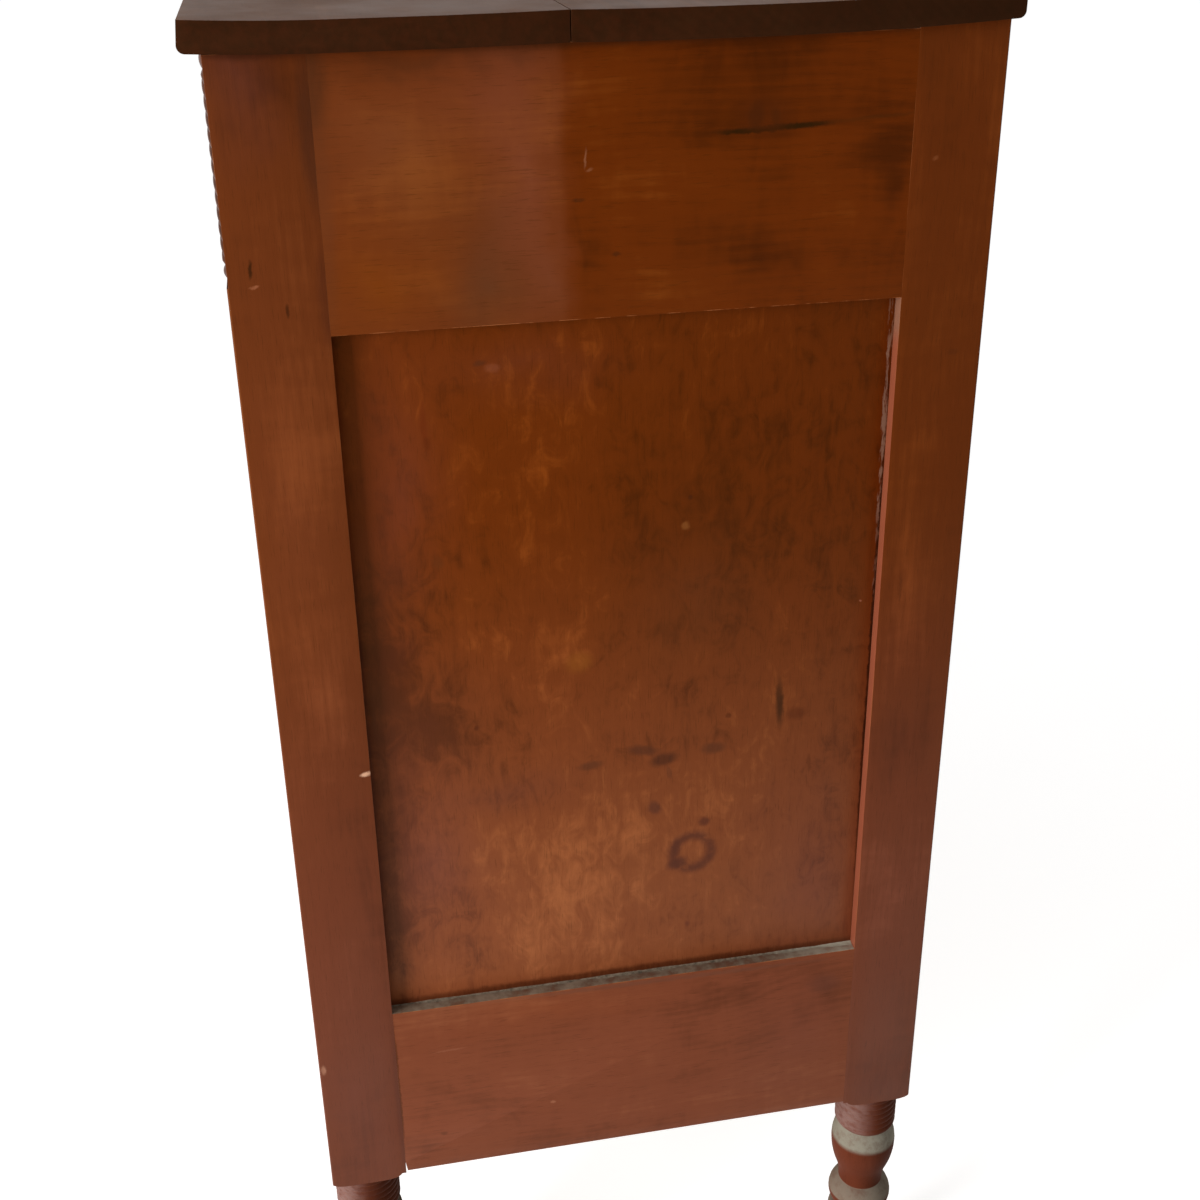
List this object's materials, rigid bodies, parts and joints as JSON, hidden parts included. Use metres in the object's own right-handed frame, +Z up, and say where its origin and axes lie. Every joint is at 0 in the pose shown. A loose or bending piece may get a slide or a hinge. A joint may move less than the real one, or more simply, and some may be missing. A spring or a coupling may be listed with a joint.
{
  "type": "chest of drawers",
  "caption": "Wooden chest of drawers with frame-and-panel ends, rope-turned columns beside the top drawer, turned legs, a two-board top and brass ring pulls.",
  "frame": {"origin": "on the floor under the middle of the whole chest", "axes": "+Z up, -Y towards the front (the drawer fronts), +X to the right as seen from the front"},
  "size_m": [1.0794, 0.5096, 1.1089],
  "materials": {
    "cherry_top": "old dark semi-gloss finish on cherry",
    "cherry_post": "old semi-gloss finish on cherry",
    "cherry_rail": "old semi-gloss finish on cherry",
    "cherry_panel": "old semi-gloss finish on figured cherry",
    "cherry_front": "old semi-gloss finish on cherry",
    "poplar": "bare, aged tulip poplar",
    "brass": "aged stamped and cast brass",
    "iron": "dull iron screws"
  },
  "bodies": {
    "case": {"top_front_board": "cherry_top", "top_back_board": "cherry_top", "front_left_post": "cherry_post", "front_right_post": "cherry_post", "back_left_post": "cherry_post", "back_right_post": "cherry_post", "left_rope_column": "cherry_post", "right_rope_column": "cherry_post", "left_upper_rail": "cherry_rail", "left_lower_rail": "cherry_rail", "left_panel": "cherry_panel", "right_upper_rail": "cherry_rail", "right_lower_rail": "cherry_rail", "right_panel": "cherry_panel", "front_top_rail": "cherry_rail", "drawer_rail_1": "cherry_rail", "drawer_rail_2": "cherry_rail", "drawer_rail_3": "cherry_rail", "front_bottom_rail": "cherry_rail", "back_top_rail": "poplar", "back_bottom_rail": "poplar", "back_boards": "poplar", "kickers": "poplar", "runners_1": "poplar", "runners_2": "poplar", "runners_3": "poplar", "runners_4": "poplar", "top_screws": "iron"},
    "drawer_1": {"drawer_1_front": "cherry_front", "drawer_1_left_side": "poplar", "drawer_1_right_side": "poplar", "drawer_1_back": "poplar", "drawer_1_bottom": "poplar", "pull_plates_1": "brass"},
    "left_ring_1": {"left_ring_1": "brass"},
    "right_ring_1": {"right_ring_1": "brass"},
    "drawer_2": {"drawer_2_front": "cherry_front", "drawer_2_left_side": "poplar", "drawer_2_right_side": "poplar", "drawer_2_back": "poplar", "drawer_2_bottom": "poplar", "pull_plates_2": "brass"},
    "left_ring_2": {"left_ring_2": "brass"},
    "right_ring_2": {"right_ring_2": "brass"},
    "drawer_3": {"drawer_3_front": "cherry_front", "drawer_3_left_side": "poplar", "drawer_3_right_side": "poplar", "drawer_3_back": "poplar", "drawer_3_bottom": "poplar", "pull_plates_3": "brass"},
    "left_ring_3": {"left_ring_3": "brass"},
    "right_ring_3": {"right_ring_3": "brass"},
    "drawer_4": {"drawer_4_front": "cherry_front", "drawer_4_left_side": "poplar", "drawer_4_right_side": "poplar", "drawer_4_back": "poplar", "drawer_4_bottom": "poplar", "pull_plates_4": "brass"},
    "left_ring_4": {"left_ring_4": "brass"},
    "right_ring_4": {"right_ring_4": "brass"}
  },
  "joints": [
    {"name": "drawer_1_slide", "type": "slide", "parent": "case", "child": "drawer_1", "axis": [0, -1, 0], "range_m": [0, 0.33]},
    {"name": "left_ring_1_swing", "type": "hinge", "parent": "drawer_1", "child": "left_ring_1", "pos_m": [-0.262, -0.24575, 1.0159], "axis": [-1, 0, 0], "range_deg": [0, 170]},
    {"name": "right_ring_1_swing", "type": "hinge", "parent": "drawer_1", "child": "right_ring_1", "pos_m": [0.262, -0.24575, 1.0159], "axis": [-1, 0, 0], "range_deg": [0, 170]},
    {"name": "drawer_2_slide", "type": "slide", "parent": "case", "child": "drawer_2", "axis": [0, -1, 0], "range_m": [0, 0.33]},
    {"name": "left_ring_2_swing", "type": "hinge", "parent": "drawer_2", "child": "left_ring_2", "pos_m": [-0.262, -0.24575, 0.84265], "axis": [-1, 0, 0], "range_deg": [0, 170]},
    {"name": "right_ring_2_swing", "type": "hinge", "parent": "drawer_2", "child": "right_ring_2", "pos_m": [0.262, -0.24575, 0.84265], "axis": [-1, 0, 0], "range_deg": [0, 170]},
    {"name": "drawer_3_slide", "type": "slide", "parent": "case", "child": "drawer_3", "axis": [0, -1, 0], "range_m": [0, 0.33]},
    {"name": "left_ring_3_swing", "type": "hinge", "parent": "drawer_3", "child": "left_ring_3", "pos_m": [-0.262, -0.24575, 0.62165], "axis": [-1, 0, 0], "range_deg": [0, 170]},
    {"name": "right_ring_3_swing", "type": "hinge", "parent": "drawer_3", "child": "right_ring_3", "pos_m": [0.262, -0.24575, 0.62165], "axis": [-1, 0, 0], "range_deg": [0, 170]},
    {"name": "drawer_4_slide", "type": "slide", "parent": "case", "child": "drawer_4", "axis": [0, -1, 0], "range_m": [0, 0.33]},
    {"name": "left_ring_4_swing", "type": "hinge", "parent": "drawer_4", "child": "left_ring_4", "pos_m": [-0.262, -0.24575, 0.37765], "axis": [-1, 0, 0], "range_deg": [0, 170]},
    {"name": "right_ring_4_swing", "type": "hinge", "parent": "drawer_4", "child": "right_ring_4", "pos_m": [0.262, -0.24575, 0.37765], "axis": [-1, 0, 0], "range_deg": [0, 170]}
  ]
}
